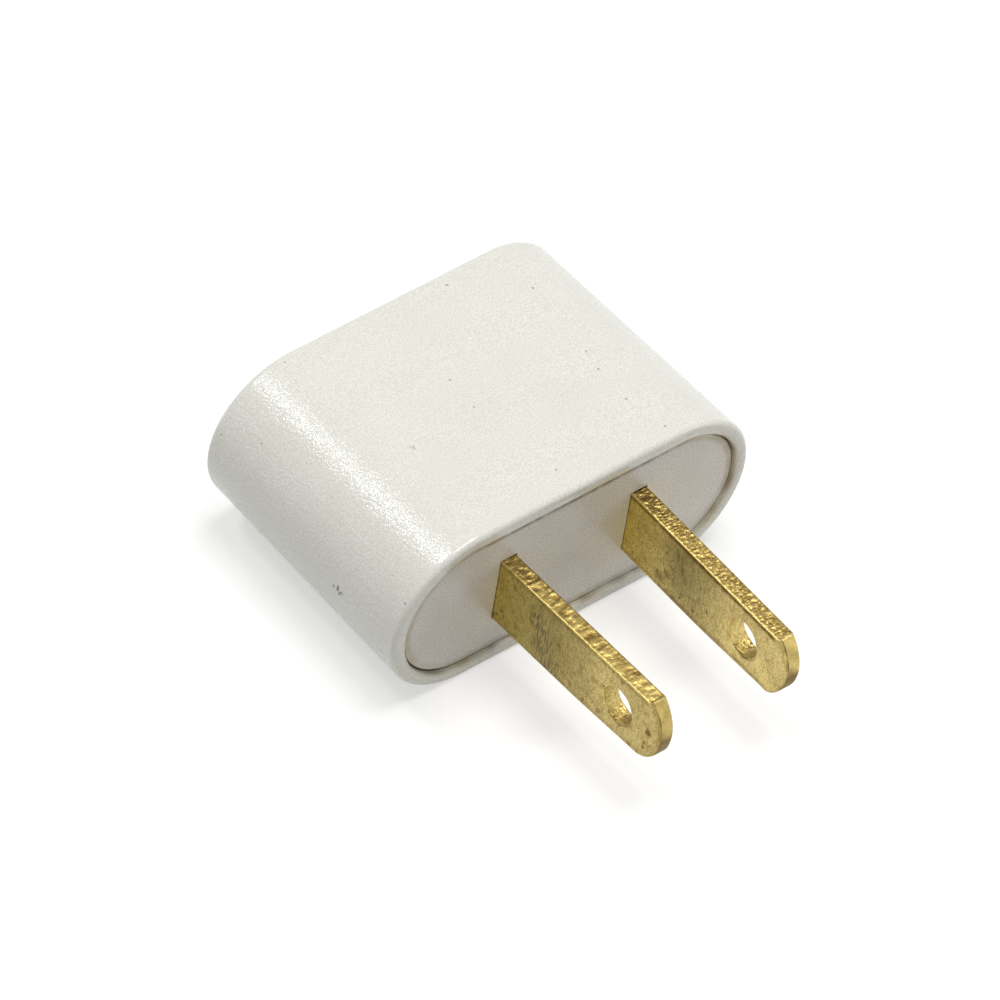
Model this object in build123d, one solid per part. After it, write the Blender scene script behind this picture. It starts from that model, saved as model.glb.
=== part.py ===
from build123d import *
import os
from math import radians, sqrt, tan

# Travel plug adapter: it takes a plug with two round pins at the back and goes into a
# wall outlet with two flat blades at the front.
# Millimetres. X runs along the long side of the rounded face, -Y points out of the face
# plate along the blades, and +Z is the normal of the broad upper side.
# The origin is the centre of the face plate's outer surface, between the blades.

# Blades, at a wall outlet's standard spacing and thickness. The left blade was pressed a
# little further in than the right one
blade_spacing = 12.7
blade_width = 6.2
blade_thickness = 1.5
blade_reach = {"left": 18.65, "right": 19.0}
blade_toe_in = 1.0
nose_radius = 3.8
nose_corner_radius = 0.25
blade_edge_chamfer = 0.1
blade_hole_radius = 1.55
blade_hole_centre = 13.9
blade_hole_chamfer = 0.12
tail_width = 10.4
tail_end = 6.6
tail_corner_radius = 0.5

# Pin sockets: the plug's standard pin spacing, with room for the thicker earthed pins
pin_spacing = 19.0
pin_hole_radius = 2.5
pin_hole_chamfer = 0.5
pin_collar_radius = 3.4
pin_collar_length = 1.5

# Housing
rim_length = 34.6
rim_height = 15.44
housing_depth = 23.3
draft = 1.3
rim_front = -0.35
rim_width = 1.25
rim_outer_radius = 0.45
rim_inner_chamfer = 0.15
back_edge_radius = 0.6
ledge_width = 0.75
back_wall = 2.2
web_thickness = 1.5

# Face plate
plate_thickness = 1.6
plate_gap = 0.12
plate_edge_chamfer = 0.1
slot_gap = 0.06
tongue_thickness = 0.7
tongue_length = 1.6
tongue_height = 8.0
peg_x = 13.9
peg_radius = 0.8
peg_length = 3.4
peg_chamfer = 0.25
boss_radius = 1.5
boss_end = 7.0
fit_gap = 0.03

# Rails that hold the blade tails in the housing
rail_jaw = 0.9
rail_inner_z = 4.5
rail_end = 8.6

# Spring contacts, one folded strip for each pin
strip = 0.4
contact_flange_height = 8.8
contact_flange_start = 2.2
channel_start = 6.9
channel_end = 10.8
channel_width = 4.1
channel_depth = 6.0
channel_bend_radius = 0.9
leaf_height = 5.0
leaf_throat_y = 15.0
leaf_throat_gap = 3.3
leaf_end_y = 18.7
leaf_end_gap = 5.3
flange_corner_radius = 0.8

# Rivets that join a contact to its blade
rivet_y = 4.2
rivet_z = 3.4
rivet_radius = 0.6
rivet_head_radius = 0.95
rivet_head_height = 0.35
rivet_gap = 0.02

# Worked out from the driving sizes
rim_back = rim_front + housing_depth
ledge_y = plate_thickness
seat_length = rim_length - 2 * rim_width
seat_height = rim_height - 2 * rim_width
cavity_length = seat_length - 2 * ledge_width
cavity_height = seat_height - 2 * ledge_width
cavity_end = rim_back - back_wall
blade_x = blade_spacing / 2
pin_x = pin_spacing / 2
contact_face_x = blade_x + blade_thickness / 2
sides = {"left": -1, "right": 1}
levels = {"upper": 1, "lower": -1}


def along_y(sketch, start, end):
    """Extrude a sketch drawn in X and Z from one depth to another."""
    return extrude(Plane.XZ.offset(-start) * sketch, amount=start - end)


def block(x, y, z):
    """A box between two limits on each axis."""
    size = (x[1] - x[0], y[1] - y[0], z[1] - z[0])
    centre = ((x[0] + x[1]) / 2, (y[0] + y[1]) / 2, (z[0] + z[1]) / 2)
    return Pos(*centre) * Box(*size)


def cylinder_y(x, z, radius, start, end):
    """A cylinder along Y."""
    return along_y(Pos(x, z) * Circle(radius), start, end)


def mirrored(solid, side):
    """The solid as drawn on the right, or its mirror image on the left."""
    return solid if side > 0 else mirror(solid, about=Plane.YZ)


def housing_outside():
    """The drafted outside: a stadium, smaller at the back, with both rims rounded."""
    narrowing = 2 * housing_depth * tan(radians(draft))
    back = SlotOverall(rim_length - narrowing, rim_height - narrowing)
    body = extrude(Plane.XZ.offset(-rim_back) * back, amount=housing_depth, taper=-draft)
    ends = body.faces().sort_by(Axis.Y)
    body = fillet(ends[0].edges(), rim_outer_radius)
    back_face = body.faces().sort_by(Axis.Y)[-1]
    return fillet(back_face.edges(), back_edge_radius)


def blade_rail(level):
    """A rib on the upper or lower wall, grooved for one edge of the right blade's tail."""
    half = blade_thickness / 2 + fit_gap
    x = (blade_x - half - rail_jaw, blade_x + half + rail_jaw)
    z_inner = level * rail_inner_z
    z_outer = level * (cavity_height / 2 + ledge_width / 2)
    z_groove = level * (tail_width / 2 + fit_gap)
    rail = block(x, (ledge_y, rail_end), sorted((z_inner, z_outer)))
    groove_x = (blade_x - half, blade_x + half)
    return rail - block(groove_x, (0, tail_end + fit_gap), sorted((0, z_groove)))


def peg_boss():
    """The boss in the right-hand round end that takes the face plate's peg."""
    boss = cylinder_y(peg_x, 0, boss_radius, ledge_y, cavity_end)
    boss &= block((0, peg_x + boss_radius), (ledge_y, boss_end), (-boss_radius, boss_radius))
    wall = block((peg_x, cavity_length / 2 + ledge_width / 2), (ledge_y, boss_end), (-0.5, 0.5))
    return boss + wall


def pin_hole():
    """The right-hand pin hole with its lead-in chamfer, as a solid to cut away."""
    hole = cylinder_y(pin_x, 0, pin_hole_radius, cavity_end - pin_collar_length, rim_back)
    flare = Cone(pin_hole_radius, pin_hole_radius + pin_hole_chamfer, pin_hole_chamfer)
    lead_in = Pos(pin_x, rim_back - pin_hole_chamfer / 2, 0) * Rot(-90, 0, 0) * flare
    return hole + lead_in


def make_housing():
    """The moulded shell: an open box with its ribs, rails, bosses and pin holes."""
    body = housing_outside()
    seat = along_y(SlotOverall(seat_length, seat_height), rim_front, ledge_y)
    body -= seat
    body -= along_y(SlotOverall(cavity_length, cavity_height), ledge_y, cavity_end)
    mouth = body.faces().sort_by(Axis.Y)[0].inner_wires()[0]
    body = chamfer(mouth.edges(), rim_inner_chamfer)
    web_z = cavity_height / 2 + ledge_width / 2
    web_x = (-web_thickness / 2, web_thickness / 2)
    body += block(web_x, (ledge_y + fit_gap, cavity_end), (-web_z, web_z))
    for side in sides.values():
        for level in levels.values():
            body += mirrored(blade_rail(level), side)
        body += mirrored(peg_boss(), side)
        collar_start = cavity_end - pin_collar_length
        body += cylinder_y(side * pin_x, 0, pin_collar_radius, collar_start, cavity_end)
        body -= mirrored(pin_hole(), side)
        peg_hole_end = ledge_y + peg_length + peg_chamfer
        body -= cylinder_y(side * peg_x, 0, peg_radius + fit_gap, ledge_y, peg_hole_end)
    return body


def make_face_plate():
    """The cover: two blade slots in front, and pegs and insulating tongues behind."""
    outline = SlotOverall(seat_length - 2 * plate_gap, seat_height - 2 * plate_gap)
    plate = along_y(outline, 0, plate_thickness)
    plate = chamfer(plate.faces().sort_by(Axis.Y)[0].edges(), plate_edge_chamfer)
    tongue_x = web_thickness / 2 + fit_gap
    for side in sides.values():
        x = sorted((side * tongue_x, side * (tongue_x + tongue_thickness)))
        y = (plate_thickness, plate_thickness + tongue_length)
        plate += block(x, y, (-tongue_height / 2, tongue_height / 2))
        peg = cylinder_y(side * peg_x, 0, peg_radius, plate_thickness, plate_thickness + peg_length)
        plate += chamfer(peg.faces().sort_by(Axis.Y)[-1].edges(), peg_chamfer)
        slot_size = (blade_thickness + 2 * slot_gap, blade_width + 2 * slot_gap)
        plate -= along_y(Pos(side * blade_x, 0) * Rectangle(*slot_size), 0, plate_thickness)
    return plate


def blade_plan(side, reach):
    """The blade seen from above: straight in the housing, then leaning in to its tip."""
    half = blade_thickness / 2
    lean = side * reach * tan(radians(blade_toe_in))
    x = side * blade_x
    points = [
        (x - half, tail_end),
        (x + half, tail_end),
        (x + half, 0),
        (x + half - lean, -reach),
        (x - half - lean, -reach),
        (x - half, 0),
    ]
    height = tail_width
    return extrude(Plane.XY.offset(-height / 2) * make_face(Polyline(*points, close=True)), height)


def blade_side(reach):
    """The blade seen from the side, in Y and Z: round nose, parallel edges and wide tail."""
    half = blade_width / 2
    tail = tail_width / 2
    nose_start = nose_radius - reach - sqrt(nose_radius**2 - half**2)
    outline = [
        (nose_start, half),
        (plate_thickness, half),
        (plate_thickness, tail),
        (tail_end, tail),
        (tail_end, -tail),
        (plate_thickness, -tail),
        (plate_thickness, -half),
        (nose_start, -half),
    ]
    nose = ThreePointArc((nose_start, -half), (-reach, 0), (nose_start, half))
    face = make_face(Polyline(*outline) + nose)
    corners = [v for v in face.vertices() if abs(v.X - nose_start) < 0.01]
    face = fillet(corners, nose_corner_radius)
    ends = [v for v in face.vertices() if abs(v.X - tail_end) < 0.01]
    face = fillet(ends, tail_corner_radius)
    reach_x = blade_x + blade_thickness
    return extrude(Plane.YZ.offset(-reach_x) * face, 2 * reach_x)


def along_blade_rim(edge):
    """Whether an edge runs round the outline of the blade's outer stretch."""
    middle = edge @ 0.5
    across = abs((edge % 0.5).X) > 0.5
    return middle.Y < 0 and not across


def make_blade(side, reach):
    """A stamped blade with eased edges, a detent hole and two rivet holes in its tail."""
    blade = blade_plan(side, reach) & blade_side(reach)
    outline = [e for e in blade.edges() if along_blade_rim(e)]
    blade = chamfer(outline, blade_edge_chamfer)
    lean = Rot(0, 0, -side * blade_toe_in)
    place = Pos(side * blade_x, 0, 0) * lean * Pos(0, -blade_hole_centre, 0)
    hole = place * Rot(0, 90, 0) * Cylinder(blade_hole_radius, 3 * blade_thickness)
    blade -= hole
    rims = blade.edges().filter_by(GeomType.CIRCLE)
    rims = rims.filter_by(lambda e: abs(e.radius - blade_hole_radius) < 0.01)
    blade = chamfer(rims, blade_hole_chamfer)
    for level in levels.values():
        rivet_hole = Rot(0, 90, 0) * Cylinder(rivet_radius + rivet_gap, 3 * blade_thickness)
        blade -= Pos(side * blade_x, rivet_y, level * rivet_z) * rivet_hole
    return blade


def leaf_line(root_x, throat_x, end_x):
    """The line of one contact leaf seen from above: in to its throat, then flared out."""
    root = (root_x, channel_end)
    turn = ((root_x + throat_x) / 2, (channel_end + leaf_throat_y) / 2)
    throat = (throat_x, leaf_throat_y)
    lead_in = TangentArc(root, turn, tangent=(0, 1))
    bow = TangentArc(turn, throat, tangent=lead_in % 1)
    flare = TangentArc(throat, (end_x, leaf_end_y), tangent=bow % 1)
    return lead_in + bow + flare


def contact_leaf(outward):
    """One free leaf of the right contact; outward is 1 for the leaf away from the blade."""
    centre = contact_face_x + strip + channel_width / 2
    root_x = centre + outward * (channel_width + strip) / 2
    throat_x = centre + outward * (leaf_throat_gap + strip) / 2
    end_x = centre + outward * (leaf_end_gap + strip) / 2
    line = leaf_line(root_x, throat_x, end_x)
    face = trace(line, strip)
    return extrude(Plane.XY.offset(-leaf_height / 2) * face, leaf_height)


def contact_channel():
    """The folded root of the right contact: a U across the pin, open at the top."""
    outer_x = contact_face_x + channel_width + 2 * strip
    top = leaf_height / 2
    outside = Rectangle(channel_width + 2 * strip, channel_depth, align=(Align.MIN, Align.MAX))
    outside = Pos(contact_face_x, top) * outside
    bottom = [v for v in outside.vertices() if v.Y < 0]
    outside = fillet(bottom, channel_bend_radius)
    hollow = Rectangle(channel_width, channel_depth, align=(Align.MIN, Align.MAX))
    hollow = Pos(contact_face_x + strip, top + strip) * hollow
    floor = [v for v in hollow.vertices() if v.Y < 0]
    hollow = fillet(floor, channel_bend_radius - strip)
    return along_y(outside - hollow, channel_start, channel_end)


def contact_flange():
    """The flat of the right contact that lies on the blade's tail, with two rivet holes."""
    half = contact_flange_height / 2
    neck = leaf_height / 2
    outline = [
        (contact_flange_start, half),
        (tail_end - strip, half),
        (channel_start, neck),
        (channel_start, -neck),
        (tail_end - strip, -half),
        (contact_flange_start, -half),
    ]
    face = make_face(Polyline(*outline, close=True))
    corners = [v for v in face.vertices() if abs(v.X - contact_flange_start) < 0.01]
    face = fillet(corners, flange_corner_radius)
    for level in levels.values():
        face -= Pos(rivet_y, level * rivet_z) * Circle(rivet_radius + rivet_gap)
    return extrude(Plane.YZ.offset(contact_face_x) * face, strip)


def make_contact():
    """The right-hand spring contact: flange, folded channel and two bowed leaves."""
    return contact_flange() + contact_channel() + contact_leaf(-1) + contact_leaf(1)


def make_rivet(level):
    """A flat-headed rivet through the right blade's tail and its contact's flange."""
    inner = blade_x - blade_thickness / 2
    outer = contact_face_x + strip
    shank = Pos((inner + outer) / 2, 0, 0) * Rot(0, 90, 0) * Cylinder(rivet_radius, outer - inner)
    rivet = shank
    for centre in (inner - rivet_head_height / 2, outer + rivet_head_height / 2):
        head = Rot(0, 90, 0) * Cylinder(rivet_head_radius, rivet_head_height)
        rivet += Pos(centre, 0, 0) * head
    return Pos(0, rivet_y, level * rivet_z) * rivet


def make_parts():
    """Every sub-part by its node name."""
    parts = {"housing": make_housing(), "face_plate": make_face_plate()}
    for name, side in sides.items():
        parts[f"blade_{name}"] = make_blade(side, blade_reach[name])
        parts[f"contact_{name}"] = mirrored(make_contact(), side)
        for level_name, level in levels.items():
            parts[f"rivet_{name}_{level_name}"] = mirrored(make_rivet(level), side)
    return parts


os.makedirs("parts", exist_ok=True)
for node, solid in make_parts().items():
    solid.label = node
    export_step(solid, f"parts/{node}.step")
    print(node, round(solid.volume, 2), solid.bounding_box())
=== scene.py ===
from math import atan2, cos, degrees, hypot, pi, radians, sin, sqrt, tan

import bmesh
import bpy
from mathutils import Matrix, Vector, noise


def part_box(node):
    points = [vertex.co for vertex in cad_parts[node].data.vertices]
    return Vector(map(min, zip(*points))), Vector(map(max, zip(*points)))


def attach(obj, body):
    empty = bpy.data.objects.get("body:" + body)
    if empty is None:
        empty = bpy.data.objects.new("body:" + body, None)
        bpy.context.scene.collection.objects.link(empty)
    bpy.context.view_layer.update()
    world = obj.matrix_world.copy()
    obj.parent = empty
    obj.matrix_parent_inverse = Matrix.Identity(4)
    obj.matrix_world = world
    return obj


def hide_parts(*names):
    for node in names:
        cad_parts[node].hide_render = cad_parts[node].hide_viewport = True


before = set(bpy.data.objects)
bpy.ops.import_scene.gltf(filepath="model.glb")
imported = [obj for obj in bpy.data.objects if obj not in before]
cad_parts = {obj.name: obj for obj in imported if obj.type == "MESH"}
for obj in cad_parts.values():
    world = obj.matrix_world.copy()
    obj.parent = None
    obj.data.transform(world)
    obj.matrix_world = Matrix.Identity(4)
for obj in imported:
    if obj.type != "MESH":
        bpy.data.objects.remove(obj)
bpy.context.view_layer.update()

mm = 0.001

# Camera: where the photograph was taken from, with a long lens
camera_azimuth = radians(-46.584)
camera_elevation = radians(46.469)
camera_roll = radians(9.921)
camera_place = Vector((-502.728, -467.723, 727.009)) * mm
camera_lens_mm = 481.27
sensor_mm = 36.0
camera_clip = (0.05, 20.0)

# Light, in metres: how bright the surroundings are, and each square lamp's direction, size and
# the light that a white face turned to it gets from it
surroundings_level = 0.30
lamp_distance = 0.7
lamps = [
    ("overhead_softbox", (0.10, 0.02, 0.99), 0.4, 0.6),
    ("strip_softbox", (-0.30, 0.51, 0.80), 0.115, 0.18),
    ("side_softbox", (0.78, -0.58, 0.25), 0.4, 0.12),
]
floor_size = 3.0
floor_glow = 0.5

# Blade sizes that the frame's boxes don't give
blade_spacing = 12.7 * mm
blade_thickness = 1.5 * mm
blade_width = 6.2 * mm
toe_in = tan(radians(1.0))
hole_distance = 13.9 * mm
hole_radius = 1.55 * mm
hole_rim_radius = 0.16 * mm
root_depth = 0.8 * mm
smooth_rim = 0.16 * mm
burr_rim = 0.06 * mm
wide_corner = 1 * mm

# The fields that a blade's wear bends: across its thickness, along it and up its width
thickness_step = 0.055 * mm
length_step = 0.065 * mm
width_step = 0.14 * mm

# Millimetres: where along a blade its lower edge tapers, and bands of its thickness, whose
# middle is at 0, for the smooth lip and the burr on one side and the worn edge on the other
taper_stretch = (8.0, 18.0)
lip_band = (-0.54, -0.62)
burr_band = (-0.6, -0.74)
worn_band = (0.42, 0.75)

# What the brass is told about each point of a blade
blade_marks = ("sheared", "hollow", "stain_and_painted_shade", "hatched", "handled_and_painted_sheen")

# The two blades' noses and wear. Places are millimetres along a blade from the face and up its
# width. Tearing is how coarse the sheared edges are and tear_depth how deep, hollow how much
# painted shade darkens their dips, groove how deep the groove beside the burr is and how dark its
# painted shade, dull_lip and lower_tarnish how dull the lip and the lower nose are, and hatch the
# patch of scratches. Sheen is how bright the flat is painted along the blade, for its handled brass
# and as painted reflection; each of the stains has its place, size and strength
blade_forms = {
    "left": {
        "nose_radius": 4.25 * mm, "nose_lift": 0.0, "taper": 0.08,
        "upper_corner": 0.16 * mm, "lower_corner": 1.5 * mm,
        "seed": 6.0, "tearing": 1.0, "tear_depth": 0.8, "hollow": 0.56, "groove": 0.45,
        "dull_lip": 0.3, "lower_tarnish": 0.55, "hatch": 1.0, "hatch_place": 5.1,
        "handled_and_painted_sheen": [
            (0, 0.65), (3, 0.45), (5, 0.2), (6.5, 0.08),
            (9.5, 0.25), (12, 0.51), (16, 0.43), (18.6, 0.45),
        ],
        "stains": [
            (17.41, 0.11, 0.42, 0.8), (17.20, -1.19, 0.26, 0.6), (17.18, -1.65, 0.24, 0.7),
            (13.98, 2.49, 0.25, 0.6), (14.84, -1.37, 0.22, 0.6), (12.29, 0.55, 0.16, 0.8),
            (1.27, 2.91, 0.20, 0.8), (0.92, -1.50, 0.18, 0.95), (0.06, -2.50, 0.35, 0.7),
            (0.46, -2.2, 0.17, 0.9), (4.7, -1.27, 0.3, 0.4), (5.2, 1.16, 0.3, 0.3),
            (8.9, -2.2, 0.3, 0.4), (10.4, -2.6, 0.3, 0.5), (12.1, -2.3, 0.35, 0.5),
        ],
    },
    "right": {
        "nose_radius": 3.9 * mm, "nose_lift": 0.25 * mm, "taper": 0.11,
        "upper_corner": 0.16 * mm, "lower_corner": 0.12 * mm,
        "seed": 16.0, "tearing": 0.55, "tear_depth": 1.0, "hollow": 0.62, "groove": 1.0,
        "dull_lip": 0.5, "lower_tarnish": 0.65, "hatch": 0.3, "hatch_place": 7.6,
        "handled_and_painted_sheen": [
            (0, 1.0), (3.5, 1.0), (6.3, 0.19), (8.8, 0.23), (10.5, 0.5), (13, 0.88), (19, 0.73),
        ],
        "stains": [
            (4.3, -2.0, 0.8, 0.5), (5.1, -1.15, 0.55, 0.45), (7.03, -1.64, 0.25, 0.6),
            (8.58, 3.01, 0.22, 0.9), (14.33, 2.89, 0.20, 0.9), (9.87, -0.88, 0.2, 0.8),
            (1.19, -2.27, 0.16, 0.9), (1.3, 0.48, 0.15, 0.8), (4.69, 0.9, 0.17, 0.9),
            (5.14, 1.66, 0.15, 0.8), (5.63, -0.1, 0.17, 0.9), (2.97, 2.35, 0.15, 0.7),
            (6.82, -2.12, 0.17, 0.9), (8.4, -2.15, 0.2, 0.8), (6.0, 1.58, 0.3, 0.35),
        ],
    },
}

# The housing's pits and nicks: place, outward direction, size, depth, the two stretches along
# the surface and how dark its sunk faces are painted, in millimetres
housing_dents = [
    ((-8.36, 9.85, 7.49), (0, 0, 1), 0.50, 0.04, (1.0, 0.8), 0.3),
    ((4.64, 21.59, 7.22), (0, 0, 1), 0.24, 0.07, (1.0, 1.0), 0.5),
    ((-1.54, 13.69, 7.40), (0, 0, 1), 0.20, 0.07, (1.0, 1.0), 0.5),
    ((-1.83, 10.5, 7.47), (0, 0, 1), 0.18, 0.07, (1.0, 1.0), 0.4),
    ((8.54, 8.38, 7.52), (0, 0, 1), 0.20, 0.07, (1.0, 1.0), 0.5),
    ((8.28, 4.78, 7.60), (0, 0, 1), 0.20, 0.07, (1.0, 1.0), 0.5),
    ((-0.86, 2.01, 7.67), (0, 0, 1), 0.22, 0.07, (1.0, 1.0), 0.55),
    ((8.92, 0.97, 7.69), (0, 0, 1), 0.20, 0.07, (1.0, 1.0), 0.5),
    ((8.99, 10.35, 7.48), (0, 0, 1), 0.18, 0.07, (1.0, 1.0), 0.4),
    ((9.91, 17.74, 7.29), (0, 0, 1), 0.22, 0.07, (1.0, 1.0), 0.5),
    ((-16.32, 21.96, 2.55), (-0.934, 0.025, 0.357), 0.20, 0.07, (1.0, 1.0), 0.3),
    ((-15.5, 18.46, 4.24), (-0.821, 0.023, 0.571), 0.20, 0.07, (1.0, 1.0), 0.3),
    ((-16.3, 0.23, 3.76), (-0.86, 0.021, 0.51), 0.22, 0.07, (1.0, 1.0), 0.4),
    ((-17.13, 6.51, 0.18), (-1, 0, 0), 0.46, 0.12, (0.55, 1.5), 0.55),
    ((-17.14, 6.28, -0.16), (-1, 0, 0), 0.40, 0.10, (0.6, 1.1), 0.5),
    ((-17.12, 7.02, -0.01), (-1, 0, 0), 0.24, 0.07, (1.0, 1.3), 0.3),
    ((-17.14, 6.02, 0.12), (-1, 0, 0), 0.34, 0.10, (1.0, 1.0), 0.0),
]

# Housing and plate sizes taken from the frame
housing_low, housing_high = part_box("housing")
plate_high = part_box("face_plate")[1]
rim_half_length = housing_high.x
rim_radius = housing_high.z
straight_half = rim_half_length - rim_radius
rim_front = housing_low.y
plate_radius = plate_high.z
plate_straight_half = plate_high.x - plate_radius

# Fine patterns. The real ones, about 0.08 mm in the grain of the mould and 0.03 mm in the
# rolled and scratched brass, are too fine to show, so all of these are drawn as coarse as
# they need to show
mould_grain = 0.22 * mm
mould_mottle = 0.14 * mm
cover_grain = 0.25 * mm
cover_sand = 0.13 * mm
brass_grain = 0.14 * mm
brass_line = 0.15 * mm
brass_crumb = 0.1 * mm
strip_line = 0.12 * mm

# The Mix node's places for A, B and the result, of colours and of numbers
COLOUR_A, COLOUR_B, COLOUR_RESULT = 6, 7, 2
NUMBER_A, NUMBER_B, NUMBER_RESULT = 2, 3, 0


def linear(colour):
    """An sRGB hex colour as linear red, green, blue and alpha."""
    channels = []
    for start in (1, 3, 5):
        value = int(colour[start:start + 2], 16) / 255
        channels.append(value / 12.92 if value <= 0.04045 else ((value + 0.055) / 1.055) ** 2.4)
    return (*channels, 1.0)


def add_node(tree, kind, inputs=None, **settings):
    """Add a shader node with its settings; an input is a value, a hex colour, or the socket
    that it is linked from."""
    node = tree.nodes.new("ShaderNode" + kind)
    for name, value in settings.items():
        setattr(node, name, value)
    for socket, source in (inputs or {}).items():
        if isinstance(source, bpy.types.NodeSocket):
            tree.links.new(source, node.inputs[socket])
        else:
            value = linear(source) if isinstance(source, str) else source
            node.inputs[socket].default_value = value
    return node


def empty_tree(owner):
    """The node tree of a material or world, with nothing in it."""
    owner.use_nodes = True
    owner.node_tree.nodes.clear()
    return owner.node_tree


def new_material(name):
    """A material with an output and a principled shader, and the place of its points."""
    material = bpy.data.materials.new(name)
    tree = empty_tree(material)
    shader = add_node(tree, "BsdfPrincipled")
    add_node(tree, "OutputMaterial", {"Surface": shader.outputs["BSDF"]})
    return material, tree, shader, add_node(tree, "TexCoord").outputs["Object"]


def lay_coats(tree, colour, coats):
    """Coats laid in turn over a base colour. MIX covers what is under it and MULTIPLY tints
    it; then come how much of the coat shows and its colour."""
    for way, share, coat in coats:
        inputs = {"Factor": share, COLOUR_A: colour, COLOUR_B: coat}
        mixed = add_node(tree, "Mix", inputs, data_type="RGBA", blend_type=way)
        colour = mixed.outputs[COLOUR_RESULT]
    return colour


def blotches(tree, place, size, low, high, detail=2.0, stretch=None):
    """A noise pattern of a given blob size, from 0 below low to 1 above high."""
    if stretch:
        place = add_node(tree, "Mapping", {"Vector": place, "Scale": stretch}).outputs["Vector"]
    field = add_node(tree, "TexNoise", {"Vector": place, "Scale": 1 / size, "Detail": detail})
    ramp = {"Value": field.outputs["Fac"], "From Min": low, "From Max": high}
    return add_node(tree, "MapRange", ramp, interpolation_type="SMOOTHSTEP").outputs["Result"]


def specks(tree, place, spacing, radius, share):
    """Small round spots, one in some of the cells of a given spacing; 1 inside a spot."""
    cells = add_node(tree, "TexVoronoi", {"Vector": place, "Scale": 1 / spacing})
    chosen = add_node(tree, "SeparateColor", {"Color": cells.outputs["Color"]})
    kept = {"Value": chosen.outputs["Red"], "From Min": 1 - share, "From Max": 1 - share * 0.6}
    kept = add_node(tree, "MapRange", kept).outputs["Result"]
    edge = radius / spacing
    near = {"Value": cells.outputs["Distance"], "From Min": edge, "From Max": edge * 0.5}
    near = add_node(tree, "MapRange", near).outputs["Result"]
    return add_node(tree, "Math", {0: near, 1: kept}, operation="MULTIPLY").outputs["Value"]


def outline_depth(tree, place, half_straight, radius):
    """How far inside a rounded-end outline in X and Z a point lies, in metres, and the
    point's own X, Y and Z."""
    parts = add_node(tree, "SeparateXYZ", {"Vector": place})
    across = add_node(tree, "Math", {0: parts.outputs["X"]}, operation="ABSOLUTE")
    beyond = {0: across.outputs["Value"], 1: half_straight}
    beyond = add_node(tree, "Math", beyond, operation="SUBTRACT")
    beyond = add_node(tree, "Math", {0: beyond.outputs["Value"], 1: 0.0}, operation="MAXIMUM")
    flat = {"X": beyond.outputs["Value"], "Y": parts.outputs["Z"]}
    flat = add_node(tree, "CombineXYZ", flat)
    length = add_node(tree, "VectorMath", {0: flat.outputs["Vector"]}, operation="LENGTH")
    inside = {0: radius, 1: length.outputs["Value"]}
    return add_node(tree, "Math", inside, operation="SUBTRACT").outputs["Value"], parts


def make_housing_plastic():
    """Moulded ABS from a spark-eroded mould: a fine orange-peel grain that sparkles in the
    highlight, smoother at the front rim, with brown dust and painted shade in the groove, the shade
    darkest and unbroken at the bottom of the left end."""
    material, tree, shader, place = new_material("abs_spark_eroded")
    depth, parts = outline_depth(tree, place, straight_half, rim_radius)
    # The groove round the cover, just inside the rim's front: patchy brown dust with painted shade
    groove = {"Value": depth, "From Min": 0.85 * mm, "From Max": 1.4 * mm}
    groove = add_node(tree, "MapRange", groove, interpolation_type="SMOOTHSTEP").outputs["Result"]
    front = {"Value": parts.outputs["Y"], "From Min": 3.5 * mm, "From Max": 2.0 * mm}
    front = add_node(tree, "MapRange", front).outputs["Result"]
    groove = add_node(tree, "Math", {0: groove, 1: front}, operation="MULTIPLY").outputs["Value"]
    # Painted shade at the bottom of the left end: there the groove is darkened without gaps
    low = {"Value": parts.outputs["Z"], "From Min": -3 * mm, "From Max": -5.5 * mm}
    low = add_node(tree, "MapRange", low).outputs["Result"]
    end = {"Value": parts.outputs["X"], "From Min": -9 * mm, "From Max": -12 * mm}
    end = add_node(tree, "MapRange", end).outputs["Result"]
    low = add_node(tree, "Math", {0: low, 1: end}, operation="MULTIPLY").outputs["Value"]
    dust = blotches(tree, place, 2.5 * mm, 0.25, 0.7)
    dust = add_node(tree, "Math", {0: dust, 1: low}, operation="MAXIMUM").outputs["Value"]
    dust_and_shade = add_node(tree, "Math", {0: groove, 1: dust}, operation="MULTIPLY").outputs["Value"]
    # Brown dust, turning to the dark olive of painted shade at the bottom of the left end
    dust_and_shade_colour = lay_coats(tree, "#A6987F", [("MIX", low, "#6F6850")])
    colour = lay_coats(tree, "#F2F1E9", [
        ("MIX", blotches(tree, place, 6 * mm, 0.35, 0.65), "#EEEDE4"),
        ("MIX", blotches(tree, place, mould_mottle, 0.3, 0.7), "#DDDDD3"),
        ("MIX", specks(tree, place, 2.6 * mm, 0.09 * mm, 0.35), "#A7A49A"),
        # Darker on the sunk faces of the pits and nicks
        ("MIX", add_node(tree, "Attribute", attribute_name="dent_darkening").outputs["Fac"], "#8B867A"),
        ("MIX", dust_and_shade, dust_and_shade_colour),
    ])
    tree.links.new(colour, shader.inputs["Base Color"])
    grain = add_node(tree, "TexNoise", {"Vector": place, "Scale": 1 / mould_grain, "Detail": 2.0})
    smoother = {
        "Value": parts.outputs["Y"],
        "From Min": rim_front + 0.35 * mm,
        "From Max": rim_front + 1.1 * mm,
        "To Min": 0.35,
        "To Max": 1.0,
    }
    smoother = add_node(tree, "MapRange", smoother).outputs["Result"]
    height = {0: grain.outputs["Fac"], 1: smoother}
    height = add_node(tree, "Math", height, operation="MULTIPLY").outputs["Value"]
    bump = add_node(tree, "Bump", {"Height": height, "Strength": 1.0, "Distance": 0.045 * mm})
    tree.links.new(bump.outputs["Normal"], shader.inputs["Normal"])
    shader.inputs["Roughness"].default_value = 0.15
    shader.inputs["IOR"].default_value = 1.54
    return material


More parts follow.
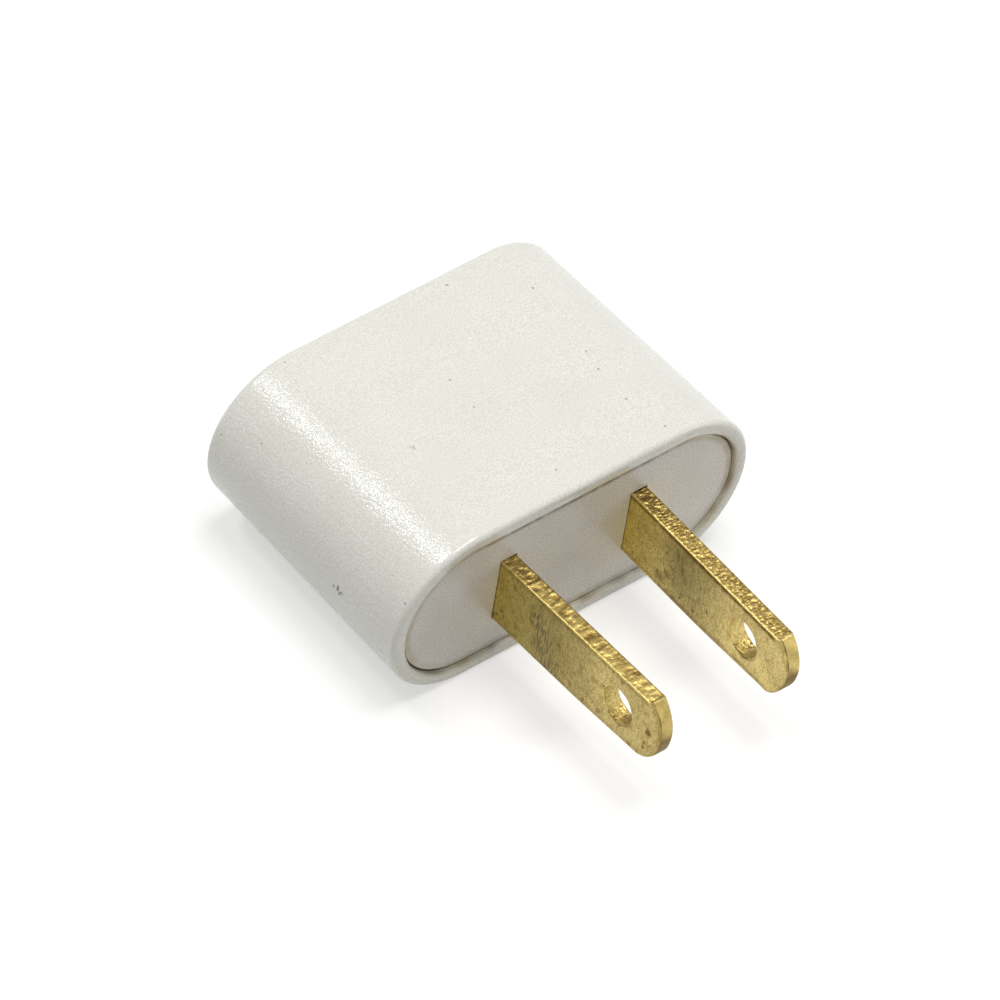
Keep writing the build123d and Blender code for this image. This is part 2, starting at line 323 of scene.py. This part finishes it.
def make_plate_plastic():
    """The same ABS from a smoother, duller mould face: a satin grey-white cover with painted shade
    towards its left end, and brown dust and the painted shade of the gap round its edge, strongest
    along the top and paler at the ends."""
    material, tree, shader, place = new_material("abs_satin_cover")
    depth, parts = outline_depth(tree, place, plate_straight_half, plate_radius)
    # Painted shade: the cover is tinted darker towards its left end
    shaded = {"Value": parts.outputs["X"], "From Min": 12 * mm, "From Max": -14 * mm}
    shaded = add_node(tree, "MapRange", shaded).outputs["Result"]
    # Painted shade of the gap between cover and rim: a band just inside the cover's edge, strongest
    # along the top and broken into patches of brown dust
    edge = {"Value": depth, "From Min": 0.8 * mm, "From Max": 0.35 * mm}
    edge = add_node(tree, "MapRange", edge, interpolation_type="SMOOTHSTEP").outputs["Result"]
    upper = {"Value": parts.outputs["Z"], "From Min": -5 * mm, "From Max": 0.0, "To Min": 0.35}
    upper = add_node(tree, "MapRange", upper).outputs["Result"]
    edge = add_node(tree, "Math", {0: edge, 1: upper}, operation="MULTIPLY").outputs["Value"]
    dust = blotches(tree, place, 1.2 * mm, 0.15, 0.6)
    dust_and_shade = add_node(tree, "Math", {0: edge, 1: dust}, operation="MULTIPLY").outputs["Value"]
    across = add_node(tree, "Math", {0: parts.outputs["X"]}, operation="ABSOLUTE").outputs["Value"]
    ends = {"Value": across, "From Min": 7 * mm, "From Max": 12 * mm}
    ends = add_node(tree, "MapRange", ends).outputs["Result"]
    dust_and_shade_colour = lay_coats(tree, "#84775F", [("MIX", ends, "#C0B49C")])
    colour = lay_coats(tree, "#F0ECE5", [
        ("MIX", blotches(tree, place, 3.5 * mm, 0.35, 0.65), "#E8E4DD"),
        ("MIX", blotches(tree, place, cover_sand, 0.35, 0.7, 1.0), "#CBC6BD"),
        ("MULTIPLY", shaded, "#FAFAFA"),
        ("MIX", dust_and_shade, dust_and_shade_colour),
        ("MIX", specks(tree, place, 2.2 * mm, 0.07 * mm, 0.3), "#6E665A"),
    ])
    tree.links.new(colour, shader.inputs["Base Color"])
    grain = add_node(tree, "TexNoise", {"Vector": place, "Scale": 1 / cover_grain, "Detail": 2.0})
    bump = {"Height": grain.outputs["Fac"], "Strength": 1.0, "Distance": 0.02 * mm}
    bump = add_node(tree, "Bump", bump)
    tree.links.new(bump.outputs["Normal"], shader.inputs["Normal"])
    shader.inputs["Roughness"].default_value = 0.32
    shader.inputs["IOR"].default_value = 1.54
    return material


def make_blade_brass():
    """Stamped sheet brass, handled and tarnished: dull tan-gold flats with a fine cross grain,
    brown stains and dark specks, painted brighter along the blade for handled brass and as painted
    reflection, and torn, brighter gold along the sheared edges, with painted shade in their
    hollows, in the groove beside the burr and along the nose's near rim."""
    material, tree, shader, place = new_material("brass_stamped")
    marks = {}
    for name in blade_marks:
        marks[name] = add_node(tree, "Attribute", attribute_name=name).outputs["Fac"]
    parts = add_node(tree, "SeparateXYZ", {"Vector": place})
    cloud = blotches(tree, place, 2.6 * mm, 0.35, 0.65, 4.0)
    mauve = blotches(tree, place, 0.7 * mm, 0.5, 0.78, 4.0)
    grain = blotches(tree, place, brass_grain, 0.3, 0.75, 3.0)
    streaks = blotches(tree, place, brass_line, 0.42, 0.72, 2.0, (1.0, 1.0, 0.2))
    rooted = {"Value": parts.outputs["Y"], "From Min": -6 * mm, "From Max": -0.5 * mm}
    rooted = add_node(tree, "MapRange", rooted).outputs["Result"]
    strokes = blotches(tree, place, brass_line, 0.46, 0.56, 1.0, (1.0, 1.0, 0.22))
    strokes = {0: strokes, 1: marks["hatched"]}
    strokes = add_node(tree, "Math", strokes, operation="MULTIPLY").outputs["Value"]
    dots = specks(tree, place, 0.55 * mm, 0.1 * mm, 0.6)
    share = {"Value": parts.outputs["Y"], "From Min": -13 * mm, "From Max": -6 * mm, "To Min": 0.25}
    share = add_node(tree, "MapRange", share).outputs["Result"]
    dots = add_node(tree, "Math", {0: dots, 1: share}, operation="MULTIPLY").outputs["Value"]
    dull = lay_coats(tree, "#A8985E", [("MIX", cloud, "#9C8C54")])
    bright = lay_coats(tree, "#F6E29B", [("MIX", cloud, "#E8D48E")])
    # Torn brass, painted dark brown in its hollows as painted shade
    torn = lay_coats(tree, "#DCC378", [("MIX", marks["hollow"], "#6E5628")])
    colour = lay_coats(tree, dull, [
        # The flat painted brighter along the blade, for handled brass and as painted reflection
        ("MIX", marks["handled_and_painted_sheen"], bright),
        ("MULTIPLY", mauve, "#DCCFC6"),
        ("MULTIPLY", rooted, "#FFFBD0"),
        ("MULTIPLY", grain, "#D2CDC0"),
        ("MULTIPLY", streaks, "#E2DECE"),
        ("MIX", strokes, "#7C6D47"),
        ("MIX", dots, "#514228"),
        ("MIX", marks["sheared"], torn),
        # Brown stains, with painted shade in the groove beside the burr and along the nose's near
        # rim
        ("MIX", marks["stain_and_painted_shade"], "#6B5129"),
    ])
    tree.links.new(colour, shader.inputs["Base Color"])
    rough = {"Value": grain, "To Min": 0.4, "To Max": 0.55}
    rough = add_node(tree, "MapRange", rough).outputs["Result"]
    rough = {"Factor": marks["sheared"], NUMBER_A: rough, NUMBER_B: 0.25}
    rough = add_node(tree, "Mix", rough).outputs[NUMBER_RESULT]
    tree.links.new(rough, shader.inputs["Roughness"])
    crumbs = add_node(tree, "TexNoise", {"Vector": place, "Scale": 1 / brass_crumb, "Detail": 2.0})
    relief = {"Factor": marks["sheared"], NUMBER_A: streaks, NUMBER_B: crumbs.outputs["Fac"]}
    relief = add_node(tree, "Mix", relief).outputs[NUMBER_RESULT]
    depth = {"Value": marks["sheared"], "To Min": 0.003 * mm, "To Max": 0.026 * mm}
    depth = add_node(tree, "MapRange", depth).outputs["Result"]
    bump = add_node(tree, "Bump", {"Height": relief, "Strength": 1.0, "Distance": depth})
    tree.links.new(bump.outputs["Normal"], shader.inputs["Normal"])
    bare = add_node(tree, "Math", {0: 1.0, 1: marks["stain_and_painted_shade"]}, operation="SUBTRACT")
    tree.links.new(bare.outputs["Value"], shader.inputs["Metallic"])
    shader.inputs["Specular IOR Level"].default_value = 0.0
    return material


def make_contact_brass():
    """Rolled spring brass strip, clean and yellow, with fine rolling lines."""
    material, tree, shader, place = new_material("brass_spring_strip")
    cloud = blotches(tree, place, 2.0 * mm, 0.35, 0.65)
    colour = lay_coats(tree, "#D2B976", [("MIX", cloud, "#C2A765")])
    tree.links.new(colour, shader.inputs["Base Color"])
    drawn = add_node(tree, "Mapping", {"Vector": place, "Scale": (1.0, 0.05, 1.0)})
    lines = {"Vector": drawn.outputs["Vector"], "Scale": 1 / strip_line}
    lines = add_node(tree, "TexNoise", lines)
    bump = {"Height": lines.outputs["Fac"], "Strength": 1.0, "Distance": 0.003 * mm}
    bump = add_node(tree, "Bump", bump)
    tree.links.new(bump.outputs["Normal"], shader.inputs["Normal"])
    shader.inputs["Metallic"].default_value = 1.0
    shader.inputs["Roughness"].default_value = 0.3
    return material


def make_rivet_brass():
    """Peened brass wire: a little redder and duller than the strip."""
    material, tree, shader, place = new_material("brass_peened")
    dents = blotches(tree, place, 0.35 * mm, 0.3, 0.7)
    colour = lay_coats(tree, "#CDAE69", [("MIX", dents, "#B3944F")])
    tree.links.new(colour, shader.inputs["Base Color"])
    bump = add_node(tree, "Bump", {"Height": dents, "Strength": 1.0, "Distance": 0.01 * mm})
    tree.links.new(bump.outputs["Normal"], shader.inputs["Normal"])
    shader.inputs["Metallic"].default_value = 1.0
    shader.inputs["Roughness"].default_value = 0.38
    return material


def mesh_object(name, mesh):
    """An object that holds a bmesh, which is used up."""
    data = bpy.data.meshes.new(name)
    mesh.to_mesh(data)
    mesh.free()
    made = bpy.data.objects.new(name, data)
    bpy.context.scene.collection.objects.link(made)
    return made


def finish_piece(name, mesh, material, sharp_angle=radians(30)):
    """A bmesh as a smooth-shaded piece of the adapter."""
    piece = mesh_object(name, mesh)
    piece.data.shade_smooth()
    piece.data.set_sharp_from_angle(angle=sharp_angle)
    piece.data.materials.append(material)
    return piece


def keep_flats_flat(piece):
    """Weight each corner's normal by face area, so that flat walls shade flat."""
    weigh = piece.modifiers.new("flat walls", "WEIGHTED_NORMAL")
    weigh.keep_sharp = True


def welded_copy(node):
    """A bmesh copy of a CAD node with its loose triangles joined."""
    mesh = bmesh.new()
    mesh.from_mesh(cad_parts[node].data)
    bmesh.ops.remove_doubles(mesh, verts=mesh.verts, dist=0.001 * mm)
    return mesh


def cut_away(solid_mesh, tool_mesh):
    """One bmesh less another, as a new one; both are used up."""
    solid = mesh_object("solid", solid_mesh)
    tool = mesh_object("tool", tool_mesh)
    cut = solid.modifiers.new("cut", "BOOLEAN")
    cut.operation = "DIFFERENCE"
    cut.solver = "EXACT"
    cut.object = tool
    graph = bpy.context.evaluated_depsgraph_get()
    data = bpy.data.meshes.new_from_object(solid.evaluated_get(graph))
    for helper in (solid, tool):
        bpy.data.objects.remove(helper)
    left = bmesh.new()
    left.from_mesh(data)
    return left


def make_dent_cutter():
    """All the housing's pits and nicks as one shape to cut away: ragged little lumps, each
    sunk into the surface by its depth."""
    raggedness = 0.35
    mesh = bmesh.new()
    for place, normal, size, depth, stretch, _ in housing_dents:
        way = Vector(normal).normalized()
        lump = bmesh.ops.create_icosphere(mesh, subdivisions=3, radius=size / 2)["verts"]
        for vert in lump:
            vert.co *= 1 + raggedness * noise.noise(vert.co / (0.3 * size) + Vector(place))
            vert.co.z *= 2 * depth / size
        bmesh.ops.scale(mesh, vec=(*stretch, 1.0), verts=lump)
        turn = way.to_track_quat("Z", "Y").to_matrix()
        bmesh.ops.rotate(mesh, cent=(0, 0, 0), matrix=turn, verts=lump)
        bmesh.ops.translate(mesh, vec=Vector(place), verts=lump)
    bmesh.ops.scale(mesh, vec=(mm, mm, mm), verts=mesh.verts)
    return mesh


def divide_round_dents(mesh):
    """Cut the walls into small fields round each dent, so that a dent changes only its own
    small field."""
    wall_gap = 0.4 * mm
    for place, normal, size, _, stretch, _ in housing_dents:
        way = Vector(normal).normalized()
        middle = Vector(place) * mm
        reach = 0.62 * size * max(stretch) * mm
        along = way.cross(Vector((0, 1, 0))).normalized()
        for tangent in (along, way.cross(along)):
            for offset in (-reach, reach):
                near = []
                for face in mesh.faces:
                    gap = abs((face.calc_center_median() - middle).dot(way))
                    if face.normal.dot(way) > 0.9 and gap < wall_gap:
                        near.append(face)
                around = {v for f in near for v in f.verts} | {e for f in near for e in f.edges}
                start = middle + tangent * offset
                bmesh.ops.bisect_plane(
                    mesh, geom=list(around) + near, plane_co=start, plane_no=tangent,
                )


def make_housing(material):
    """The moulded shell with the pits and nicks of its use. The faces near a dent that lean away
    from the wall or lie below it are painted darker."""
    sunk_lean, sunk_depth = radians(12), -0.03
    mesh = welded_copy("housing")
    divide_round_dents(mesh)
    mesh = cut_away(mesh, make_dent_cutter())
    dent_darkening = mesh.faces.layers.float.new("dent_darkening")
    for face in mesh.faces:
        for place, normal, size, _, stretch, darkness in housing_dents:
            way = Vector(normal)
            gap = face.calc_center_median() / mm - Vector(place)
            sunk = face.normal.angle(way, 0.0) > sunk_lean or gap.dot(way) < sunk_depth
            if gap.length < 0.6 * size * max(stretch) and sunk:
                face[dent_darkening] = max(face[dent_darkening], darkness)
    piece = finish_piece("housing_shell", mesh, material)
    keep_flats_flat(piece)
    return piece


def make_face_plate(material):
    """The cover as it was moulded."""
    piece = finish_piece("cover_plate", welded_copy("face_plate"), material)
    keep_flats_flat(piece)
    return piece


def spread(start, end, step):
    """Evenly spaced values strictly between two limits."""
    count = max(int(round((end - start) / step)), 1)
    return [start + (end - start) * i / count for i in range(1, count)]


def cut_across(mesh, axis, values):
    """Cut the whole mesh across one axis at each value."""
    normal = Vector((0.0, 0.0, 0.0))
    normal[axis] = 1.0
    for value in values:
        everything = mesh.verts[:] + mesh.edges[:] + mesh.faces[:]
        bmesh.ops.bisect_plane(mesh, geom=everything, plane_co=normal * value, plane_no=normal)


def round_edges(mesh, edges, radius, segments):
    """Round some edges of a bmesh."""
    bmesh.ops.bevel(
        mesh, geom=edges, offset=radius, offset_type="OFFSET", segments=segments,
        profile=0.5, affect="EDGES", clamp_overlap=True, material=-1,
    )


def rise(value, start, end):
    """A smooth step from 0 at start to 1 at end."""
    t = min(max((value - start) / (end - start), 0.0), 1.0)
    return t * t * (3 - 2 * t)


def dimple(place, size, stretch, seed):
    """A bowl-shaped hollow round each of many scattered centres, 0 at its bottom."""
    x, y, z = place / (size * mm)
    distances, _ = noise.voronoi(Vector((x / stretch, y + seed, z + seed)))
    return min(distances[0] ** 2, 1.0)


def torn_height(place, size, depth, seed):
    """The torn surface of a sheared edge, in millimetres: dimples, ridges across the edge
    and crumbs; size and depth are how coarse and how deep the tearing is."""
    p = place / mm
    bowls = dimple(place, 0.38 * size, 1.6, seed)
    ridges = noise.noise(Vector((p.x / 0.9, p.y / (0.30 * size), p.z / 0.30 + seed)))
    crumbs = noise.noise(Vector((p.x / 0.16, p.y / 0.12 + 3.0, p.z / 0.12 + seed)))
    return depth * (0.070 * (bowls - 0.35) + 0.050 * size * ridges) + 0.010 * crumbs


def follow(profile, along):
    """A value that runs smoothly through (place, value) pairs."""
    for (start, first), (end, second) in zip(profile, profile[1:]):
        if along <= end:
            return first + (second - first) * rise(along, start, end)
    return profile[-1][1]


def stain_strength(along, up, stains, seed):
    """How strongly the strongest of a blade's stains colours a point of its flat."""
    ragged = 1 + 0.5 * noise.noise(Vector((along / 0.3, up / 0.3, seed)))
    strongest = 0.0
    for stain_along, stain_up, size, strength in stains:
        gap = hypot(along - stain_along, up - stain_up) * ragged
        strongest = max(strongest, strength * rise(gap, size, 0.4 * size))
    return strongest


def lower_share(form, along):
    """What the taper leaves of a blade's lower half, some millimetres from the face."""
    return 1 - form["taper"] * rise(along, *taper_stretch)


def make_blade_blank(reach, form):
    """The blade's outer stretch in its own frame: x across its thickness, y along it towards
    the face, z across its width, with its root just inside the cover's slot. Its rims are
    sharper on the -x side, where the burr is, and all of it is cut into small fields."""
    nearly = 0.99
    half_wide, half_thick = blade_width / 2, blade_thickness / 2
    nose_radius = form["nose_radius"]
    nose_centre = reach - nose_radius
    mesh = bmesh.new()
    bmesh.ops.create_cube(mesh, size=1.0)
    size = (blade_thickness, reach + root_depth, blade_width)
    bmesh.ops.scale(mesh, vec=size, verts=mesh.verts)
    bmesh.ops.translate(mesh, vec=(0, (root_depth - reach) / 2, 0), verts=mesh.verts)
    for way, radius in ((1, form["upper_corner"]), (-1, form["lower_corner"])):
        corner = []
        for edge in mesh.edges:
            at_tip = all(v.co.y < -reach * nearly for v in edge.verts)
            if at_tip and all(v.co.z * way > half_wide * nearly for v in edge.verts):
                corner.append(edge)
        round_edges(mesh, corner, radius, 4 if radius < wide_corner else 10)
    for way, radius, segments in ((1, smooth_rim, 4), (-1, burr_rim, 2)):
        rim = [e for e in mesh.edges if all(v.co.x * way > half_thick * nearly for v in e.verts)]
        round_edges(mesh, rim, radius, segments)
    cut_across(mesh, 2, spread(-half_wide + 0.2 * mm, half_wide - 0.2 * mm, width_step))
    cut_across(mesh, 0, spread(-half_thick + burr_rim, half_thick - smooth_rim, thickness_step))
    cut_across(mesh, 1, spread(-reach + 0.2 * mm, root_depth, length_step))
    for vert in mesh.verts:
        along = -vert.co.y
        if vert.co.z < 0:
            vert.co.z *= lower_share(form, along / mm)
        if along > nose_centre:
            arc = sqrt(nose_radius ** 2 - (vert.co.z - form["nose_lift"]) ** 2)
            vert.co.y = -(nose_centre + (along - nose_centre) * arc / nose_radius)
    mesh.normal_update()
    return mesh


def wear_blade(mesh, reach, form):
    """Tear a blank's long edges, leave a lip, a groove and a burr on their -x side, round the
    nose's rims, and mark what the brass shows, painted shade and painted reflection among it; all
    sizes here are millimetres."""
    seed = form["seed"]
    tip, half_wide = reach / mm, blade_width / 2 / mm
    nose_radius, nose_lift = form["nose_radius"], form["nose_lift"]
    nose_centre = reach - nose_radius
    layers = {name: mesh.verts.layers.float.new(name) for name in blade_marks}
    moves = []
    for vert in mesh.verts:
        x, y, z = vert.co / mm
        along = -y
        edge_gap = half_wide - z if z > 0 else half_wide * lower_share(form, along) + z
        nose_gap = (nose_radius - hypot(vert.co.y + nose_centre, vert.co.z - nose_lift)) / mm
        at_nose = rise(along, tip - 1.7, tip - 1.4) * rise(nose_gap, 0.3, 0.1)
        before_nose = rise(along, tip - 2.2, tip - 1.8)
        side_share = rise(abs(vert.normal.z), 0.35, 0.9) * (1 - 0.85 * at_nose)
        nose_share = rise(-vert.normal.y, 0.2, 0.7)
        burr_side = rise(x, *burr_band)

        wander = 0.12 * noise.noise(Vector((0.0, y / 0.5 + seed, z / 3)))
        lip = rise(x, lip_band[0] + wander, lip_band[1] + wander)
        lip *= 0.6 + 0.5 * noise.noise(Vector((1.0, y / 0.5 + seed, z / 3)))
        height = torn_height(vert.co, form["tearing"], form["tear_depth"], seed)
        depth = height * (1 - lip) * (1 - 0.6 * rise(x, *worn_band)) + 0.03 * lip - 0.02
        groove = rise(abs(edge_gap - 0.28 - wander), 0.2, 0.04) * form["groove"] * (1 - at_nose)
        groove *= (1.0 if z > 0 else 0.35) * rise(y, 1.5 - tip, 2.1 - tip)
        burr = 0.05 * groove - 0.04 * form["groove"] * rise(edge_gap, 0.22, 0.0) * (1 - at_nose)
        buckle = 0.008 * noise.noise(Vector((x / 3, y / 2.2 + seed, z / 1.6)))
        rounded = 0.16 * rise(nose_gap, 0.36, 0.0) ** 2 * before_nose
        rounded *= rise(x, -0.4, -0.74) - rise(x, 0.4, 0.74)
        move = Vector((0, 0, (1 if z > 0 else -1) * depth * side_share))
        move.y += 0.02 * nose_share
        move.x += (burr * burr_side + buckle) * (1 - side_share) + rounded
        moves.append(move * mm * (y < 0.2))

        # Painted shade: the torn surface is painted dark brown in its dips, the deeper the darker
        hollow = min(max(form["hollow"] - height / 0.09, 0.0), 1.0) * (1 - lip)
        worn = 0.45 + 0.5 * noise.noise(Vector((x / 1.2, y, z / 0.8 + seed)))
        stain_and_painted_shade = 0.85 * stain_strength(along, z, form["stains"], seed)
        # Painted shade: the groove beside the burr is darkened as the stains are
        stain_and_painted_shade = max(stain_and_painted_shade, groove * burr_side) * (1 - side_share)
        patchy = 0.7 + 0.6 * noise.noise(Vector((0.0, y / 0.8, z / 0.8 + seed)))
        # Painted shade: a thin dark line along the near rim of the nose
        nose_line = 0.85 * patchy * (before_nose * rise(nose_gap, 0.34, 0.08))
        nose_line *= rise(abs(x + 0.62), 0.2, 0.04)
        lower_nose = rise(z + noise.noise(vert.co / mm) * 0.7, 1.1, 0.1) * form["lower_tarnish"]
        band = abs((along - form["hatch_place"]) + 0.4 * z + 0.8 * noise.noise(Vector((0, y, z))))
        torn = side_share * (1 - form["dull_lip"] * lip)
        vert[layers["sheared"]] = max(torn, 0.6 * nose_share)
        vert[layers["hollow"]] = hollow * (1 - nose_share) + worn * nose_share
        vert[layers["stain_and_painted_shade"]] = min(max(stain_and_painted_shade, nose_line, nose_share * lower_nose), 1.0)
        vert[layers["hatched"]] = form["hatch"] * rise(band, 1.7, 0.4) * rise(z, 2.4, 1.2)
        # How bright the flat is painted along the blade, for handled brass and as painted
        # reflection
        vert[layers["handled_and_painted_sheen"]] = follow(form["handled_and_painted_sheen"], along)
    for vert, move in zip(mesh.verts, moves):
        vert.co += move


def round_the_hole(co, middle, fade, full):
    """1 within full degrees of a direction round the hole, and 0 beyond fade degrees of it;
    0 is towards the tip and -90 is down."""
    angle = degrees(atan2(co.z, -(co.y + hole_distance)))
    return rise(abs(angle - middle), fade, full)


def make_hole_cutter(seed):
    """The shape of the punched hole, rounded out where it meets each flat and torn rough
    along its bottom."""
    mesh = bmesh.new()
    depth = blade_thickness + 0.5 * mm
    bmesh.ops.create_cone(
        mesh, cap_ends=True, cap_tris=False, segments=144,
        radius1=hole_radius, radius2=hole_radius, depth=depth,
    )
    turn = Matrix.Rotation(pi / 2, 3, "Y")
    bmesh.ops.rotate(mesh, cent=(0, 0, 0), matrix=turn, verts=mesh.verts)
    cut_across(mesh, 0, spread(-depth / 2, depth / 2, 0.04 * mm))
    centre = Vector((0, -hole_distance, 0))
    bmesh.ops.translate(mesh, vec=centre, verts=mesh.verts)
    for vert in mesh.verts:
        spoke = vert.co - centre
        across = spoke.x
        spoke.x = 0
        if spoke.length < hole_radius / 2:
            continue
        rim = hole_rim_radius * (0.6 + 1.4 * round_the_hole(vert.co, -50, 60, 25))
        over = min(max(abs(across) - blade_thickness / 2 + rim, 0.0), rim)
        flare = rim - sqrt(rim ** 2 - over ** 2)
        beyond = max(abs(across) - blade_thickness / 2, 0.0)
        rough = round_the_hole(vert.co, -98, 30, 16)
        rough *= rise(blade_thickness / 2 - abs(across), 0.0, 0.1 * mm)
        lumps = noise.noise(vert.co / (0.21 * mm) + Vector((seed, 0, 0)))
        height = (torn_height(vert.co, 0.6, 0.6, seed + 40.0) + 0.035 * lumps) * rough * mm
        spoke *= (hole_radius + flare + beyond - height) / spoke.length
        vert.co = centre + spoke + Vector((across, 0, 0))
    return mesh


def punch_hole(bar, seed):
    """The bar with its hole cut, and the bore marked as torn behind its smooth entry, with painted
    shade in its torn dips, a brown tint towards the tip and its brass painted bright as reflection.
    """
    punched = cut_away(bar, make_hole_cutter(seed))
    layers = {name: punched.verts.layers.float[name] for name in blade_marks}
    for vert in punched.verts:
        radius = hypot(vert.co.y + hole_distance, vert.co.z)
        if radius < hole_radius + hole_rim_radius * 0.6:
            # Painted shade in the torn dips of the bore
            hollow = 0.25 - (hole_radius - radius) / (0.05 * mm)
            vert[layers["sheared"]] = round_the_hole(vert.co, -98, 28, 16)
            vert[layers["hollow"]] = min(max(hollow, 0.0), 1.0)
            vert[layers["stain_and_painted_shade"]] = 0.28 * round_the_hole(vert.co, -45, 45, 25)
            # Painted reflection: the bore is painted bright brass
            vert[layers["handled_and_painted_sheen"]] = max(vert[layers["handled_and_painted_sheen"]], 0.75)
    return punched


def add_tail(mesh, node):
    """Join the CAD blade's own tail, from inside the cover's slot to its end."""
    tail = welded_copy(node)
    everything = tail.verts[:] + tail.edges[:] + tail.faces[:]
    start = (0, root_depth, 0)
    sliced = bmesh.ops.bisect_plane(
        tail, geom=everything, plane_co=start, plane_no=(0, 1, 0), clear_inner=True,
    )
    rim = [e for e in sliced["geom_cut"] if isinstance(e, bmesh.types.BMEdge)]
    bmesh.ops.edgenet_fill(tail, edges=rim)
    data = bpy.data.meshes.new("tail")
    tail.to_mesh(data)
    tail.free()
    mesh.from_mesh(data)
    bpy.data.meshes.remove(data)


def make_blade(name, side, material):
    """A whole blade: the torn and punched outer stretch, leaning in, and its plain tail."""
    node = "blade_" + name
    form = blade_forms[name]
    reach = -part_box(node)[0].y
    blank = make_blade_blank(reach, form)
    wear_blade(blank, reach, form)
    mesh = punch_hole(blank, form["seed"])
    for vert in mesh.verts:
        lean = side * max(-vert.co.y, 0.0) * toe_in
        vert.co.x += side * blade_spacing / 2 - lean
        vert.co.y = max(vert.co.y, -reach)
    add_tail(mesh, node)
    return finish_piece(node + "_stamping", mesh, material, radians(45))


def seen_directly(tree):
    """1 for rays from the camera, and for what it sees in metal and through glass."""
    path = add_node(tree, "LightPath")
    seen = path.outputs["Is Camera Ray"]
    for ray in ("Is Glossy Ray", "Is Transmission Ray"):
        either = {0: seen, 1: path.outputs[ray]}
        seen = add_node(tree, "Math", either, operation="MAXIMUM").outputs["Value"]
    return seen


def make_floor():
    """A plain white table under the adapter, seen white by the camera apart from the shadow."""
    mesh = bmesh.new()
    bmesh.ops.create_grid(mesh, x_segments=1, y_segments=1, size=floor_size)
    bmesh.ops.translate(mesh, vec=(0, 0, housing_low.z), verts=mesh.verts)
    material = bpy.data.materials.new("white_table")
    tree = empty_tree(material)
    matt = add_node(tree, "BsdfDiffuse", {"Color": "#CFCFCE"})
    white = add_node(tree, "Emission", {"Color": "#FFFFFF", "Strength": floor_glow})
    both = add_node(tree, "AddShader", {0: matt.outputs[0], 1: white.outputs[0]})
    choice = {"Fac": seen_directly(tree), 1: matt.outputs[0], 2: both.outputs[0]}
    choice = add_node(tree, "MixShader", choice)
    add_node(tree, "OutputMaterial", {"Surface": choice.outputs[0]})
    floor = mesh_object("floor", mesh)
    floor.data.materials.append(material)


def make_surroundings():
    """Even white surroundings, seen white by the camera; a white surface gets only their
    level from them."""
    world = bpy.data.worlds.new("studio")
    bpy.context.scene.world = world
    tree = empty_tree(world)
    soft = add_node(tree, "Background", {"Color": "#FFFFFF", "Strength": surroundings_level})
    white = add_node(tree, "Background", {"Color": "#FFFFFF", "Strength": 1.0})
    choice = {"Fac": seen_directly(tree), 1: soft.outputs[0], 2: white.outputs[0]}
    choice = add_node(tree, "MixShader", choice)
    add_node(tree, "OutputWorld", {"Surface": choice.outputs[0]})


def make_lamp(name, direction, size, share):
    """A square lamp aimed at the adapter."""
    lamp = bpy.data.lights.new(name, "AREA")
    lamp.shape = "SQUARE"
    lamp.size = size
    lamp.energy = share * (pi * lamp_distance) ** 2
    holder = bpy.data.objects.new(name, lamp)
    bpy.context.scene.collection.objects.link(holder)
    way = Vector(direction).normalized()
    holder.location = way * lamp_distance
    holder.rotation_euler = way.to_track_quat("Z", "Y").to_euler()


def make_camera():
    """The photograph's own viewpoint."""
    azimuth, elevation, roll = camera_azimuth, camera_elevation, camera_roll
    back = Vector((
        sin(azimuth) * cos(elevation), -cos(azimuth) * cos(elevation), sin(elevation),
    ))
    level_right = (-back).cross(Vector((0, 0, 1))).normalized()
    level_up = level_right.cross(-back)
    right = cos(roll) * level_right + sin(roll) * level_up
    up = cos(roll) * level_up - sin(roll) * level_right
    data = bpy.data.cameras.new("camera")
    data.lens = camera_lens_mm
    data.sensor_width = sensor_mm
    data.clip_start, data.clip_end = camera_clip
    camera = bpy.data.objects.new("camera", data)
    bpy.context.scene.collection.objects.link(camera)
    turn = Matrix((right, up, back)).transposed().to_4x4()
    camera.matrix_world = Matrix.Translation(camera_place) @ turn
    bpy.context.scene.camera = camera


make_camera()
make_surroundings()
for lamp_name, lamp_direction, lamp_size, lamp_share in lamps:
    make_lamp(lamp_name, lamp_direction, lamp_size, lamp_share)
make_floor()

housing_plastic = make_housing_plastic()
plate_plastic = make_plate_plastic()
blade_brass = make_blade_brass()
contact_brass = make_contact_brass()
rivet_brass = make_rivet_brass()

dressed = [
    (make_housing(housing_plastic), "housing", "housing_plastic"),
    (make_face_plate(plate_plastic), "face_plate", "plate_plastic"),
    (make_blade("left", -1, blade_brass), "blade_left", "blade_brass"),
    (make_blade("right", 1, blade_brass), "blade_right", "blade_brass"),
]
for piece, node, slot in dressed:
    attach(piece, "root")
    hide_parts(node)

for name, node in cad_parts.items():
    if name.startswith(("contact_", "rivet_")):
        node.data.materials.clear()
        node.data.materials.append(contact_brass if name.startswith("contact_") else rivet_brass)

bpy.context.scene.view_settings.view_transform = "Standard"
